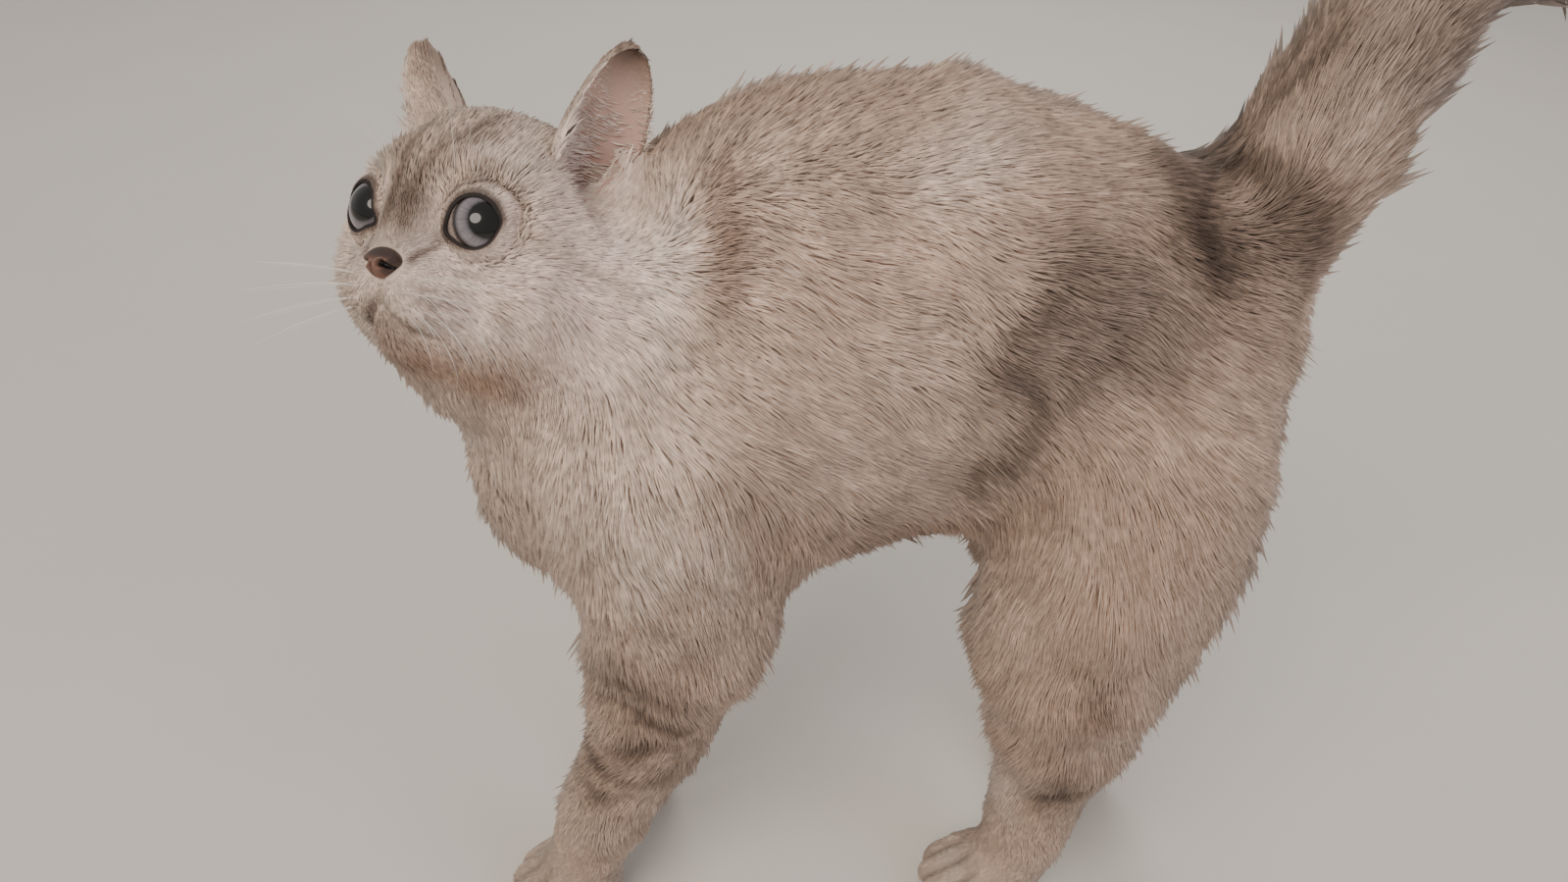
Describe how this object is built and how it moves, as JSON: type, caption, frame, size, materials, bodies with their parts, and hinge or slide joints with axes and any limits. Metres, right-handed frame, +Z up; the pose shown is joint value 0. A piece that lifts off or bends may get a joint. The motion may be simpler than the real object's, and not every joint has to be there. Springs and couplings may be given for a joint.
{
  "type": "standing domestic cat, still life-size model",
  "caption": "Plush-coated short-haired cat standing with an arched back, a raised hooked tail and its head turned and lifted to its left.",
  "frame": {"origin": "on the floor, under the middle of the whole cat's bounding box", "axes": "+Z up; the body faces -X and its left side is towards -Y"},
  "size_m": [0.4558, 0.1454, 0.4098],
  "materials": {
    "coat": "dense plush fur, cream with warm grey ticking",
    "coat_pale": "short pale cream fur of the face, ruff and paws",
    "inner_ear": "thin pinkish skin with fine pale hairs",
    "nose_leather": "moist, finely pebbled brick-brown skin",
    "eye": "wet and clear over a grey-blue iris and a wide black pupil",
    "whisker": "stiff white hairs, slightly glossy",
    "paw_pad": "dry, matt mauve-brown skin"
  },
  "bodies": {
    "root": {"head": "coat_pale", "nose": "nose_leather", "eye_left": "eye", "eye_right": "eye", "ear_left": "inner_ear", "ear_right": "inner_ear", "neck": "coat_pale", "chest": "coat", "loin": "coat", "rump": "coat", "tail_root": "coat", "tail_middle": "coat", "tail_tip": "coat", "upper_arm_left": "coat", "forearm_left": "coat", "fore_paw_left": "coat_pale", "thigh_left": "coat", "shank_left": "coat", "foot_left": "coat", "hind_paw_left": "coat_pale", "upper_arm_right": "coat", "forearm_right": "coat", "fore_paw_right": "coat_pale", "thigh_right": "coat", "shank_right": "coat", "foot_right": "coat", "hind_paw_right": "coat_pale"}
  },
  "joints": []
}
